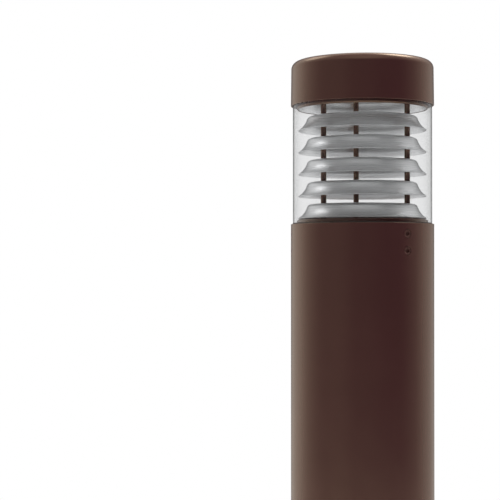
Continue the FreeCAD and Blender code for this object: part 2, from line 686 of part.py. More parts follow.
# ================================================================ leads
def wire_along(points, bend_r, radius):
    """A round lead through corner points, its corners rounded by tangent arcs."""
    edges = []
    start = points[0]
    for before, corner, after in zip(points, points[1:], points[2:]):
        into = (corner - before).normalize()
        out = (after - corner).normalize()
        half_turn = into.getAngle(out) / 2
        setback = bend_r * math.tan(half_turn)
        arc_start = corner - into * setback
        arc_end = corner + out * setback
        towards_centre = (out - into).normalize()
        centre = corner + towards_centre * (bend_r / math.cos(half_turn))
        middle = centre - towards_centre * bend_r
        edges.append(Part.makeLine(start, arc_start))
        edges.append(Part.Arc(arc_start, middle, arc_end).toShape())
        start = arc_end
    edges.append(Part.makeLine(start, points[-1]))
    path = Part.Wire(edges)
    first_run = (points[1] - points[0]).normalize()
    section = Part.Wire(Part.makeCircle(radius, points[0], first_run))
    return path.makePipeShell([section], True, False)


def make_led_lead(side):
    """One lead, from its pad on the LED board, down the wire tube, to the driver's top."""
    x = side * LEAD_OFFSET
    board_z = BOARD_Z - LEAD_R - 0.05
    points = [
        Vector(x, BOARD_PAD_Y, board_z), Vector(x, ROD_CIRCLE_R, board_z),
        Vector(x, ROD_CIRCLE_R, LEAD_CROSS_Z), Vector(x, LEAD_DRIVER_Y, LEAD_CROSS_Z),
        Vector(x, LEAD_DRIVER_Y, DRIVER_TOP)]
    return wire_along(points, LEAD_BEND_R, LEAD_R)


def make_input_leads():
    """Three short leads from the terminal block straight up into the driver."""
    leads = []
    for k in range(TERMINAL_POLES):
        x = (k - (TERMINAL_POLES - 1) / 2) * TERMINAL_PITCH
        centre = Vector(x, BRACKET_Y + INPUT_LEAD_Y, 0)
        leads.append(cylinder(INPUT_LEAD_R, TERMINAL_TOP, DRIVER_BOTTOM, centre))
    return leads


# ================================================================ all nodes
nodes = {
    "anchor_base": make_anchor_base(),
    "anchor_base_screws": make_anchor_base_screws(),
    "shaft": make_shaft(),
    "screw_collar": make_screw_collar(),
    "head_set_screws": make_head_set_screws(),
    "head_base": make_head_base(),
    "lower_lens_gasket": make_lower_lens_gasket(),
    "lens": make_lens(),
    "upper_lens_gasket": make_upper_lens_gasket(),
    "tie_rod_left": make_tie_rod(ROD_ANGLES["tie_rod_left"]),
    "tie_rod_right": make_tie_rod(ROD_ANGLES["tie_rod_right"]),
    "wire_tube": make_wire_tube(),
    "wire_bushing": make_wire_bushing(),
    "rod_washers": make_rod_washers(),
    "rod_nuts": make_rod_nuts(),
    "top_carrier": make_top_carrier(),
    "cap": make_cap(),
    "cap_gasket": make_cap_gasket(),
    "cap_screws": make_cap_screws(),
    "heat_sink": make_heat_sink(),
    "heat_sink_screws": make_heat_sink_screws(),
    "led_board": make_led_board(),
    "led_board_screws": make_led_board_screws(),
    "led_chips": make_led_chips(),
    "diffuser": make_diffuser(),
    "diffuser_ring": make_diffuser_ring(),
    "diffuser_ring_screws": make_diffuser_ring_screws(),
    "driver_bracket": make_driver_bracket(),
    "bracket_screws": make_bracket_screws(),
    "led_driver": make_led_driver(),
    "driver_screws": make_driver_screws(),
    "terminal_block": make_terminal_block(),
    "terminal_block_screws": make_terminal_block_screws(),
    "ground_screw": make_ground_screw(),
    "led_lead_red": make_led_lead(-1),
    "led_lead_black": make_led_lead(1),
    "input_leads": make_input_leads(),
}
for number, rim_z in enumerate(louvre_rims(), start=1):
    name = "top_reflector" if number > LOUVRE_COUNT else f"louvre_{number}"
    nodes[name] = make_louvre(rim_z)
for number, (low_end, high_end) in enumerate(spacer_rows(), start=1):
    nodes[f"spacer_row_{number}"] = make_spacer_row(low_end, high_end)

os.makedirs("parts", exist_ok=True)
for name, made in nodes.items():
    shape = Part.makeCompound(made) if isinstance(made, list) else made
    shape.exportStep(f"parts/{name}.step")
    print(f"{name}: {len(shape.Solids)} solid(s), volume {shape.Volume:.0f}, valid {shape.isValid()}")
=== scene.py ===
import json
import math

import bmesh
import bpy
from mathutils import Matrix, Vector


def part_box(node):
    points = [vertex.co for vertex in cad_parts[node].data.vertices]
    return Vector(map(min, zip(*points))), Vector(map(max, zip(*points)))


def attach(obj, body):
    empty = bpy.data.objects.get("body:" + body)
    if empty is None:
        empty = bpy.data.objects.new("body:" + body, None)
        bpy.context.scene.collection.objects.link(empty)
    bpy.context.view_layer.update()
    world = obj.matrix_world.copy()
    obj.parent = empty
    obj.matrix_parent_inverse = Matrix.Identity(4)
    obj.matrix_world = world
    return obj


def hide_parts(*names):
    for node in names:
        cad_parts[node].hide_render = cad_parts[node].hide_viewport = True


# A bollard light with a louvred head. Everything is in metres, in the frame's own place.

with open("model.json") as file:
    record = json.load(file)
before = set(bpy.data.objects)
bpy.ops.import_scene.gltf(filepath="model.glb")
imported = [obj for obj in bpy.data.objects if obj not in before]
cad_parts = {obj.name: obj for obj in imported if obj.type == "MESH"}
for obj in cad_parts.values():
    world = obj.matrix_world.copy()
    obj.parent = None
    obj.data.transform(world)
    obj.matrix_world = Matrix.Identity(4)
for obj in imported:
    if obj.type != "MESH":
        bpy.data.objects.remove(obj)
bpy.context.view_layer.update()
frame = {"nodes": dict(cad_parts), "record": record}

MM = 0.001

# ------------------------------------------------------------------ sizes read from the frame
shaft_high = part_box("shaft")[1]
cap_low, cap_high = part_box("cap")
lens_low, lens_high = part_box("lens")
carrier_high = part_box("top_carrier")[1]
collar_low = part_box("screw_collar")[0]

OUTER_R = shaft_high.x
SHAFT_TOP = shaft_high.z
LENS_R = lens_high.x

# ------------------------------------------------------------------ sizes the boxes don't give
CLEARANCE = 0.1 * MM        # round a set screw in its hole, and at its point
EDGE = 0.35 * MM            # the small round on a machined or sawn edge
LATHE_STEPS = 192
FINE_LATHE_STEPS = 256      # for the shaft, lens and cap, whose outlines are long and plain
ARC_SLACK = 1e-6            # keeps the arcs of two neighbouring corners from touching

SHAFT_WALL = 3.2 * MM
SHAFT_BANDS = 12            # rows of faces up the shaft
COLLAR_WALL = 6.7 * MM
HOLE_CHAMFER = 0.2 * MM     # on the rim of each set screw's hole
HOLE_OVERRUN = 2.0 * MM     # how far the hole's tool reaches past the bore

HEAD_SCREW_ANGLES = (60, 180, 300)
HEAD_SCREW_DROPS = (12.2 * MM, 31.2 * MM)
BASE_SCREW_ANGLES = (0, 120, 240)
BASE_SCREW_Z = 35 * MM
BASE_SCREW_POINT_R = 70.0 * MM
SET_SCREW_R = 4.76 * MM
SET_SCREW_SINK = 0.15 * MM  # its end below the shaft's surface
POINT_WIDTH = 1.2 * MM      # bevel of the screw's point
POINT_HEIGHT = 0.9 * MM
THREAD_PITCH = 1.6 * MM
THREAD_DEPTH = 0.4 * MM
THREAD_ROUND = 0.1 * MM
THREAD_START = 1.0 * MM
THREAD_ENDS = 2.4 * MM      # length without thread, both ends together
RIM_WIDTH = 0.9 * MM        # bevel of the screw's outer end
RIM_HEIGHT = 1.0 * MM
RIM_ROUND = 0.8 * MM
SOCKET_R = 2.75 * MM        # corner radius of the hexagon socket
SOCKET_DEPTH = 2.2 * MM
SOCKET_TIP_DEPTH = 0.9 * MM  # cone at the bottom of the socket
SOCKET_TIP_SHARE = 0.8
SOCKET_MOUTH_DEPTH = 0.3 * MM
SOCKET_MOUTH_WIDTH = 0.5 * MM
SOCKET_OVERRUN = 0.2 * MM

LENS_WALL = 4.0 * MM
LENS_SKIN = 0.5 * MM        # faces this close to the lens's outside count as its outer skin

ROD_ANGLES = (90, 210, 330)
ROD_CIRCLE_R = 55.25 * MM
ROD_HOLE_R = 2.48 * MM
SPACER_R = 3.175 * MM

LOUVRE_COUNT = 5
LOUVRE_RIM_R = 74.0 * MM
LOUVRE_HOLE_R = 46.0 * MM
LOUVRE_SHEET = 1.0 * MM
LOUVRE_EDGE_SHARE = 0.45    # round of the sheet's edges, as a share of its thickness
LOUVRE_RIM_ANGLE = math.radians(31)
LOUVRE_NECK_ANGLE = math.radians(71)
LOUVRE_FLARE_R = 23.2 * MM
LOUVRE_SHOULDER_R = 5.4 * MM

CAP_DRAFT = math.radians(0.7)
CAP_FILLET = 9.0 * MM
CAP_INNER_FILLET = 5.5 * MM
CAP_BORE_R = 79.0 * MM
CAP_LENS_BORE_R = 80.7 * MM  # the wider bore, around the lens
CAP_ROOF = 4.0 * MM
CAP_STEP_DROP = 1.0 * MM    # from the carrier's top down to the step between the two bores


# ------------------------------------------------------------------ outlines
class Corner:
    """A corner of a lathe outline: radius, height and the radius it is rounded to."""

    def __init__(self, r, z, fillet=0.0, steps=4):
        self.place = Vector((r, z))
        self.fillet = fillet
        self.steps = steps


def rounded(corners):
    """Points of a closed outline, with each corner replaced by its tangent arc."""
    points = []
    count = len(corners)
    for k, corner in enumerate(corners):
        before = corners[k - 1].place
        after = corners[(k + 1) % count].place
        if corner.fillet <= 0:
            points.append(corner.place.copy())
            continue
        into = (corner.place - before).normalized()
        out = (after - corner.place).normalized()
        half_turn = into.angle(out) / 2
        setback = corner.fillet * math.tan(half_turn)
        inward = (out - into).normalized()
        centre = corner.place + inward * (corner.fillet / math.cos(half_turn))
        start = corner.place - into * setback - centre
        end = corner.place + out * setback - centre
        turn = start.angle_signed(end)
        for step in range(corner.steps + 1):
            share = -turn * step / corner.steps
            cosine, sine = math.cos(share), math.sin(share)
            arm = Vector((start.x * cosine - start.y * sine, start.x * sine + start.y * cosine))
            points.append(centre + arm)
    return points


def mesh_object(name, mesh):
    obj = bpy.data.objects.new(name, mesh)
    bpy.context.scene.collection.objects.link(obj)
    return obj


def smooth_by_angle(mesh, degrees=32):
    """Smooth shading, kept sharp where faces meet at more than the given angle."""
    mesh.shade_smooth()
    mesh.set_sharp_from_angle(angle=math.radians(degrees))


def lathe(name, corners, steps=LATHE_STEPS, centre=(0, 0)):
    """A piece made by turning a closed outline round the vertical axis through centre."""
    points = rounded(corners)
    on_axis = [point.x < 1e-7 for point in points]
    vertices = []
    rings = []
    for point, central in zip(points, on_axis):
        if central:
            rings.append([len(vertices)] * steps)
            vertices.append((centre[0], centre[1], point.y))
            continue
        rings.append(range(len(vertices), len(vertices) + steps))
        for step in range(steps):
            turn = 2 * math.pi * step / steps
            x = centre[0] + point.x * math.cos(turn)
            y = centre[1] + point.x * math.sin(turn)
            vertices.append((x, y, point.y))
    faces = []
    for k, ring in enumerate(rings):
        following = (k + 1) % len(rings)
        if on_axis[k] and on_axis[following]:
            continue
        for step in range(steps):
            after = (step + 1) % steps
            corners_of_face = [ring[step], ring[after], rings[following][after], rings[following][step]]
            faces.append(list(dict.fromkeys(corners_of_face)))
    mesh = bpy.data.meshes.new(name)
    mesh.from_pydata(vertices, [], faces)
    tidy_mesh(mesh)
    return mesh_object(name, mesh)


def tidy_mesh(mesh):
    """Makes every face look outwards and sets its shading."""
    work = bmesh.new()
    work.from_mesh(mesh)
    bmesh.ops.remove_doubles(work, verts=work.verts, dist=1e-7)
    bmesh.ops.recalc_face_normals(work, faces=work.faces)
    work.to_mesh(mesh)
    work.free()
    smooth_by_angle(mesh)


def polar(radius, degrees, z=0.0):
    turn = math.radians(degrees)
    return Vector((radius * math.cos(turn), radius * math.sin(turn), z))


def cutter(name, profile, steps=48):
    """A lathed tool that stands on the origin and points along +Z."""
    return lathe(name, [Corner(r, z) for r, z in profile], steps)


def carve(obj, tools):
    """Cuts the tools out of an object and removes them."""
    for tool in tools:
        cut = obj.modifiers.new("cut", "BOOLEAN")
        cut.operation = "DIFFERENCE"
        cut.solver = "EXACT"
        cut.object = tool
    apply_modifiers(obj)
    for tool in tools:
        bpy.data.objects.remove(tool)
    smooth_by_angle(obj.data)
    weigh_normals(obj)


def apply_modifiers(obj):
    bpy.context.view_layer.update()
    graph = bpy.context.evaluated_depsgraph_get()
    mesh = bpy.data.meshes.new_from_object(obj.evaluated_get(graph))
    obj.modifiers.clear()
    obj.data = mesh


def weigh_normals(obj):
    """Large faces decide the shading at their edges, so narrow rounds don't bend it."""
    modifier = obj.modifiers.new("weighted", "WEIGHTED_NORMAL")
    modifier.keep_sharp = True
    modifier.weight = 100


def join(name, objects):
    """One object from several."""
    with bpy.context.temp_override(
            active_object=objects[0], selected_editable_objects=objects, selected_objects=objects):
        bpy.ops.object.join()
    objects[0].name = name
    return objects[0]


def stands_for(obj, body, material, slot, *nodes):
    """Puts a finished piece on its body, in place of its CAD nodes."""
    obj.data.materials.clear()
    obj.data.materials.append(material)
    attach(obj, body)
    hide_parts(*nodes)


# ------------------------------------------------------------------ materials
BRONZE_TONES = ((0.097, 0.032, 0.035), (0.105, 0.035, 0.038))
BRONZE_FLECK = (0.16, 0.068, 0.060)
BRONZE_GLOSS_TINT = (1.0, 0.82, 0.5, 1.0)
SPUN_TONES = ((0.84, 0.845, 0.85), (0.96, 0.965, 0.97))
RAW_ALUMINIUM_TONES = ((0.55, 0.56, 0.57), (0.66, 0.67, 0.68))
ACRYLIC_MIRROR_TONES = ((0.62, 0.625, 0.63), (0.66, 0.665, 0.67))
ACRYLIC_CLEAR_TONES = ((0.966, 0.967, 0.968), (0.972, 0.973, 0.974))
ACRYLIC_GLOSS = 0.0387      # share of light that one acrylic face mirrors, seen straight on
PHOSPHOR_TONES = ((0.80, 0.62, 0.16), (0.88, 0.74, 0.24))
FLOOR_TONES = ((0.80, 0.80, 0.80), (0.83, 0.83, 0.83))


def add_node(tree, kind, **settings):
    node = tree.nodes.new(kind)
    for key, value in settings.items():
        setattr(node, key, value)
    return node


def new_material(name):
    material = bpy.data.materials.new(name)
    material.use_nodes = True
    tree = material.node_tree
    tree.nodes.clear()
    output = add_node(tree, "ShaderNodeOutputMaterial")
    shader = add_node(tree, "ShaderNodeBsdfPrincipled")
    tree.links.new(shader.outputs["BSDF"], output.inputs["Surface"])
    return material, shader


class Maker:
    """Adds procedural nodes to a material."""

    def __init__(self, name):
        self.material, self.shader = new_material(name)
        self.tree = self.material.node_tree
        coordinates = self.add("ShaderNodeTexCoord")
        self.place = coordinates.outputs["Object"]

    def add(self, kind, **settings):
        return add_node(self.tree, kind, **settings)

    def link(self, start, end):
        self.tree.links.new(start, end)

    def set(self, **values):
        """Sets the shader's own sockets; an underscore stands for a space in a socket's name."""
        for key, value in values.items():
            self.shader.inputs[key.replace("_", " ")].default_value = value

    def noise(self, scale, detail=3.0, roughness=0.55, stretch=None):
        """Noise over the object's own coordinates, with scale in cycles per metre."""
        node = self.add("ShaderNodeTexNoise")
        node.inputs["Scale"].default_value = scale
        node.inputs["Detail"].default_value = detail
        node.inputs["Roughness"].default_value = roughness
        place = self.place
        if stretch:
            mapping = self.add("ShaderNodeMapping")
            mapping.inputs["Scale"].default_value = stretch
            self.link(place, mapping.inputs["Vector"])
            place = mapping.outputs["Vector"]
        self.link(place, node.inputs["Vector"])
        return node.outputs["Fac"]

    def spread(self, value, low, high, from_low=0.3, from_high=0.7):
        """Maps a 0 to 1 value to a range."""
        node = self.add("ShaderNodeMapRange")
        node.inputs["From Min"].default_value = from_low
        node.inputs["From Max"].default_value = from_high
        node.inputs["To Min"].default_value = low
        node.inputs["To Max"].default_value = high
        self.link(value, node.inputs["Value"])
        return node.outputs["Result"]

    def blend(self, factor, colour_a, colour_b):
        """A mix of two colours, each given as three numbers or as a socket."""
        node = self.add("ShaderNodeMix", data_type="RGBA")
        self.link(factor, node.inputs["Factor"])
        for key, colour in (("A", colour_a), ("B", colour_b)):
            socket = [s for s in node.inputs if s.name == key and s.type == "RGBA"][0]
            if isinstance(colour, tuple):
                socket.default_value = (*colour, 1.0)
            else:
                self.link(colour, socket)
        return [s for s in node.outputs if s.type == "RGBA"][0]

    def arithmetic(self, operation, a, b):
        """One step of arithmetic on sockets or numbers."""
        node = self.add("ShaderNodeMath", operation=operation)
        for socket, value in zip(node.inputs, (a, b)):
            if isinstance(value, (int, float)):
                socket.default_value = value
            else:
                self.link(value, socket)
        return node.outputs["Value"]

    def mix_into_output(self, factor, first, second):
        """Makes the surface a mix of two shaders."""
        mix = self.add("ShaderNodeMixShader")
        self.link(factor, mix.inputs["Fac"])
        self.link(first, mix.inputs[1])
        self.link(second, mix.inputs[2])
        output = [node for node in self.tree.nodes if node.type == "OUTPUT_MATERIAL"][0]
        self.link(mix.outputs["Shader"], output.inputs["Surface"])

    def colour(self, value):
        self.link(value, self.shader.inputs["Base Color"])

    def roughness(self, value):
        self.link(value, self.shader.inputs["Roughness"])

    def bump(self, height, distance, strength=1.0):
        """Relief of the given depth in metres."""
        node = self.add("ShaderNodeBump")
        node.inputs["Strength"].default_value = strength
        node.inputs["Distance"].default_value = distance
        self.link(height, node.inputs["Height"])
        self.link(node.outputs["Normal"], self.shader.inputs["Normal"])


def bronze_paint():
    """Satin bronze powder coat: dark red-brown, with a faint fleck, a fine orange peel and warm gloss."""
    maker = Maker("bronze_powder_coat")
    maker.set(Metallic=0.2, IOR=2.05)
    maker.set(Specular_Tint=BRONZE_GLOSS_TINT)
    cloud = maker.noise(14, 3)
    fleck = maker.noise(2600, 1, 0.4)
    tone = maker.blend(maker.spread(cloud, 0, 1), *BRONZE_TONES)
    tone = maker.blend(maker.spread(fleck, 0, 0.10), tone, BRONZE_FLECK)
    maker.colour(tone)
    maker.roughness(maker.spread(maker.noise(40, 3), 0.21, 0.24))
    maker.bump(maker.noise(500, 1), 0.000005, 0.2)
    return maker.material


def spun_aluminium():
    """Satin aluminium with the faint rings of metal spinning; its highlights stretch across the rings."""
    maker = Maker("spun_aluminium")
    maker.set(Metallic=0.74)
    split = maker.add("ShaderNodeSeparateXYZ")
    maker.link(maker.place, split.inputs["Vector"])
    rings = maker.add("ShaderNodeTexNoise", noise_dimensions="1D")
    rings.inputs["Scale"].default_value = 2600
    rings.inputs["Detail"].default_value = 2
    maker.link(split.outputs["Z"], rings.inputs["W"])
    grain = maker.noise(1100, 2, 0.6)
    maker.colour(maker.blend(maker.spread(grain, 0, 1), *SPUN_TONES))
    maker.roughness(maker.spread(rings.outputs["Fac"], 0.26, 0.31))
    maker.bump(rings.outputs["Fac"], 0.0000004, 0.5)
    tangent = maker.add("ShaderNodeTangent", direction_type="RADIAL", axis="Z")
    maker.link(tangent.outputs["Tangent"], maker.shader.inputs["Tangent"])
    maker.set(Anisotropic=0.45, Anisotropic_Rotation=0.25)
    return maker.material


def raw_aluminium(name, roughness, grain, depth):
    """Bare aluminium, with a grain in cycles per metre and its depth in metres."""
    maker = Maker(name)
    maker.set(Metallic=1.0)
    cloud = maker.noise(30, 4)
    maker.colour(maker.blend(maker.spread(cloud, 0, 1), *RAW_ALUMINIUM_TONES))
    maker.roughness(maker.spread(cloud, roughness, roughness + 0.12))
    maker.bump(maker.noise(grain, 3), depth, 0.6)
    return maker.material


def steel(name, colour, roughness=0.28, metal=1.0):
    """Plated, coated or bare steel with fine scratches."""
    maker = Maker(name)
    maker.set(Metallic=metal)
    scratch = maker.noise(400, 3, stretch=(1, 1, 0.15))
    darker = tuple(0.82 * part for part in colour)
    maker.colour(maker.blend(maker.spread(scratch, 0, 1), darker, colour))
    maker.roughness(maker.spread(scratch, roughness, roughness + 0.14))
    maker.bump(scratch, 0.00001, 0.3)
    return maker.material


def plastic(name, colour, roughness=0.45, grain=1500, depth=0.00003):
    """Moulded plastic or rubber with a fine texture."""
    maker = Maker(name)
    cloud = maker.noise(60, 3)
    darker = tuple(0.88 * part for part in colour)
    maker.colour(maker.blend(maker.spread(cloud, 0, 1), darker, colour))
    maker.roughness(maker.spread(cloud, roughness, roughness + 0.08))
    maker.bump(maker.noise(grain, 2), depth, 0.5)
    return maker.material


def clear_acrylic():
    """The lens: clear acrylic whose outer skin mirrors more towards its edges, as a wall's two faces do."""
    maker = Maker("clear_acrylic")
    maker.set(Metallic=1.0, Roughness=0.03)
    haze = maker.noise(6, 2, stretch=(1, 1, 0.1))
    tint = maker.spread(haze, 0, 1)
    maker.colour(maker.blend(tint, *ACRYLIC_MIRROR_TONES))
    clear = maker.add("ShaderNodeBsdfTransparent")
    maker.link(maker.blend(tint, *ACRYLIC_CLEAR_TONES), clear.inputs["Color"])
    grazing = maker.add("ShaderNodeLayerWeight")
    grazing.inputs["Blend"].default_value = 0.5
    # One face mirrors by Schlick's rule; the wall has two faces, with the light between them added up.
    rise = maker.arithmetic("POWER", grazing.outputs["Facing"], 5)
    face = maker.arithmetic("MULTIPLY", rise, 1 - ACRYLIC_GLOSS)
    face = maker.arithmetic("ADD", face, ACRYLIC_GLOSS)
    both_faces = maker.arithmetic("MULTIPLY", face, 2)
    wall = maker.arithmetic("DIVIDE", both_faces, maker.arithmetic("ADD", face, 1))
    across = maker.add("ShaderNodeVectorMath", operation="MULTIPLY")
    across.inputs[1].default_value = (1, 1, 0)
    maker.link(maker.place, across.inputs[0])
    radius = maker.add("ShaderNodeVectorMath", operation="LENGTH")
    maker.link(across.outputs["Vector"], radius.inputs[0])
    outer_skin = maker.arithmetic("GREATER_THAN", radius.outputs["Value"], LENS_R - LENS_SKIN)
    maker.mix_into_output(
        maker.arithmetic("MULTIPLY", wall, outer_skin), clear.outputs["BSDF"], maker.shader.outputs["BSDF"])
    return maker.material


def led_phosphor():
    maker = Maker("led_phosphor")
    cloud = maker.noise(900, 2)
    maker.colour(maker.blend(maker.spread(cloud, 0, 1), *PHOSPHOR_TONES))
    maker.set(Roughness=0.25)
    return maker.material


BRONZE = bronze_paint()
SPUN = spun_aluminium()
CLEAR = clear_acrylic()
SCREW = steel("bronze_coated_screw", (0.18, 0.083, 0.07), 0.34, 0.55)
SLOT_MATERIALS = {
    "bronze_paint": BRONZE,
    "spun_aluminium": SPUN,
    "clear_lens": CLEAR,
    "dark_screw_steel": SCREW,
    "raw_aluminium": raw_aluminium("machined_aluminium", 0.3, 900, 0.00001),
    "cast_aluminium": raw_aluminium("sand_cast_aluminium", 0.55, 500, 0.00015),
    "stainless_steel": steel("stainless_steel", (0.62, 0.61, 0.60)),
    "zinc_sheet": steel("zinc_plated_sheet", (0.62, 0.64, 0.66), 0.35),
    "silicone_gasket": plastic("silicone_gasket", (0.075, 0.06, 0.055), 0.5),
    "black_rubber": plastic("black_rubber", (0.02, 0.02, 0.02), 0.6),
    "opal_diffuser": plastic("opal_diffuser", (0.86, 0.86, 0.84), 0.3),
    "board_white": plastic("white_solder_mask", (0.82, 0.83, 0.82), 0.35),
    "led_phosphor": led_phosphor(),
    "driver_case": plastic("driver_case_plastic", (0.045, 0.045, 0.05), 0.5, 900, 0.00008),
    "terminal_plastic": plastic("terminal_nylon", (0.72, 0.70, 0.62), 0.35),
    "green_screw": steel("green_ground_screw", (0.04, 0.30, 0.10), 0.3),
    "red_insulation": plastic("red_lead_insulation", (0.45, 0.02, 0.015), 0.35),
    "black_insulation": plastic("black_lead_insulation", (0.02, 0.02, 0.02), 0.35),
}


def finish_cad_nodes():
    """Every CAD node takes the procedural material of its slot."""
    for entry in frame["record"]["subparts"]:
        node = frame["nodes"][entry["node"]]
        material = SLOT_MATERIALS[entry["material_slot"]]
        for material_slot in node.material_slots:
            material_slot.material = material


# ------------------------------------------------------------------ shaft and its screws
def screw_places():
    """Angle and height of every set screw in the shaft."""
    head = [(angle, SHAFT_TOP - drop) for angle in HEAD_SCREW_ANGLES for drop in HEAD_SCREW_DROPS]
    foot = [(angle, BASE_SCREW_Z) for angle in BASE_SCREW_ANGLES]
    return head, foot


def radial_matrix(angle, z):
    """Turns a piece that points along +Z to point outwards at an angle and height."""
    spin = Matrix.Rotation(math.radians(angle), 4, "Z")
    tip = Matrix.Rotation(math.radians(90), 4, "Y")
    return spin @ Matrix.Translation((0, 0, z)) @ tip


def build_shaft():
    bore_r = OUTER_R - SHAFT_WALL
    heights = [SHAFT_TOP * band / SHAFT_BANDS for band in range(1, SHAFT_BANDS)]
    corners = [Corner(bore_r, 0, EDGE), Corner(OUTER_R, 0, EDGE)]
    corners += [Corner(OUTER_R, z) for z in heights]
    corners += [Corner(OUTER_R, SHAFT_TOP, EDGE), Corner(bore_r, SHAFT_TOP, EDGE)]
    corners += [Corner(bore_r, z) for z in reversed(heights)]
    shaft = lathe("shaft_tube", corners, FINE_LATHE_STEPS)
    hole_r = SET_SCREW_R + CLEARANCE
    start = bore_r - HOLE_OVERRUN
    end = OUTER_R + HOLE_CHAMFER
    tools = []
    for angle, z in sum(screw_places(), []):
        tool = cutter("hole", [
            (0, start), (hole_r, start), (hole_r, OUTER_R - 1.5 * HOLE_CHAMFER),
            (hole_r + 2 * HOLE_CHAMFER, end), (0, end)])
        tool.data.transform(radial_matrix(angle, z))
        tools.append(tool)
    carve(shaft, tools)
    stands_for(shaft, "post", BRONZE, "bronze_paint", "shaft")


def set_screw(name, inner_r, outer_r, angle, z):
    """One set screw, point inwards: bevelled ends, a grooved flank for the thread, and a hexagon socket."""
    length = outer_r - inner_r
    root_r = SET_SCREW_R - THREAD_DEPTH
    corners = [Corner(0, 0), Corner(SET_SCREW_R - POINT_WIDTH, 0), Corner(root_r, POINT_HEIGHT)]
    for turn in range(int((length - THREAD_ENDS) / THREAD_PITCH)):
        low = THREAD_START + turn * THREAD_PITCH
        corners.append(Corner(SET_SCREW_R, low + 0.5 * THREAD_PITCH, THREAD_ROUND, 2))
        corners.append(Corner(root_r, low + THREAD_PITCH, THREAD_ROUND, 2))
    corners.append(Corner(SET_SCREW_R, length - RIM_HEIGHT, RIM_ROUND, 6))
    corners.append(Corner(SET_SCREW_R - RIM_WIDTH, length, RIM_ROUND, 6))
    corners.append(Corner(0, length))
    body = lathe(name, corners, 64)
    floor = length - SOCKET_DEPTH
    mouth = length + SOCKET_OVERRUN
    socket = cutter("socket", [
        (0, floor - SOCKET_TIP_DEPTH), (SOCKET_R * SOCKET_TIP_SHARE, floor),
        (SOCKET_R, floor), (SOCKET_R, length - SOCKET_MOUTH_DEPTH),
        (SOCKET_R + SOCKET_MOUTH_WIDTH, mouth), (0, mouth)], 6)
    carve(body, [socket])
    body.data.transform(radial_matrix(angle, z) @ Matrix.Translation((0, 0, inner_r)))
    return body


def build_screw_set(name, node, point_r, places):
    """All set screws of one CAD node as one piece."""
    end_r = OUTER_R - SET_SCREW_SINK
    screws = [set_screw("screw", point_r, end_r, angle, z) for angle, z in places]
    stands_for(join(name, screws), "post", SCREW, "dark_screw_steel", node)


def build_set_screws():
    head, foot = screw_places()
    collar_bore_r = -collar_low.x - COLLAR_WALL
    build_screw_set("head_set_screws_mesh", "head_set_screws", collar_bore_r + CLEARANCE, head)
    build_screw_set("anchor_base_screws_mesh", "anchor_base_screws", BASE_SCREW_POINT_R, foot)


# ------------------------------------------------------------------ lens
def build_lens():
    bore_r = LENS_R - LENS_WALL
    lens = lathe("lens_tube", [
        Corner(bore_r, lens_low.z, EDGE), Corner(LENS_R, lens_low.z, EDGE),
        Corner(LENS_R, lens_high.z, EDGE), Corner(bore_r, lens_high.z, EDGE)], FINE_LATHE_STEPS)
    weigh_normals(lens)
    stands_for(lens, "head", CLEAR, "clear_lens", "lens")


# ------------------------------------------------------------------ louvres
def slope(angle):
    """The direction that runs inwards and up at an angle from level."""
    return Vector((-math.cos(angle), math.sin(angle)))


def louvre_section(rim_z, depth):
    """Corners of one skin of a louvre, from its rim to its hole, at a depth below the outer skin."""
    rim = LOUVRE_RIM_ANGLE
    neck = LOUVRE_NECK_ANGLE
    flare_setback = LOUVRE_FLARE_R * math.tan((neck - rim) / 2)
    shoulder_setback = LOUVRE_SHOULDER_R * math.tan(neck / 2)
    start = Vector((LOUVRE_RIM_R, rim_z))
    flare = start + slope(rim) * flare_setback
    shoulder = flare + slope(neck) * (flare_setback + shoulder_setback)
    hole = Vector((LOUVRE_HOLE_R, shoulder.y))
    normals = (rim, (rim + neck) / 2, neck / 2, 0)
    stretches = (1, 1 / math.cos((neck - rim) / 2), 1 / math.cos(neck / 2), 1)
    places = []
    for place, normal, stretch in zip((start, flare, shoulder, hole), normals, stretches):
        inward = Vector((-math.sin(normal), -math.cos(normal)))
        places.append(place + inward * depth * stretch)
    return places


def build_louvre(name, node):
    """One louvre: flared skirt, rounded shoulder and flat top with a hole for each rod."""
    low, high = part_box(node)
    rim_z = low.z + LOUVRE_SHEET * math.cos(LOUVRE_RIM_ANGLE)
    edge = LOUVRE_SHEET * LOUVRE_EDGE_SHARE
    rim, flare, shoulder, hole = louvre_section(rim_z, 0)
    under_rim, under_flare, under_shoulder, under_hole = louvre_section(rim_z, LOUVRE_SHEET)
    louvre = lathe(name, [
        Corner(*under_rim, edge), Corner(*rim, edge),
        Corner(*flare, LOUVRE_FLARE_R - ARC_SLACK, 14),
        Corner(*shoulder, LOUVRE_SHOULDER_R - ARC_SLACK, 12),
        Corner(*hole, edge), Corner(*under_hole, edge),
        Corner(*under_shoulder, LOUVRE_SHOULDER_R - LOUVRE_SHEET - ARC_SLACK, 12),
        Corner(*under_flare, LOUVRE_FLARE_R + LOUVRE_SHEET - ARC_SLACK, 14)])
    above = high.z + MM
    rod_hole = [(0, rim_z), (ROD_HOLE_R, rim_z), (ROD_HOLE_R, above), (0, above)]
    tools = []
    for angle in ROD_ANGLES:
        tool = cutter("rod_hole", rod_hole, 24)
        tool.data.transform(Matrix.Translation(polar(ROD_CIRCLE_R, angle)))
        tools.append(tool)
    carve(louvre, tools)
    stands_for(louvre, "head", SPUN, "spun_aluminium", node)


def build_louvres():
    for number in range(1, LOUVRE_COUNT + 1):
        build_louvre(f"louvre_{number}_spun", f"louvre_{number}")
    build_louvre("top_reflector_spun", "top_reflector")


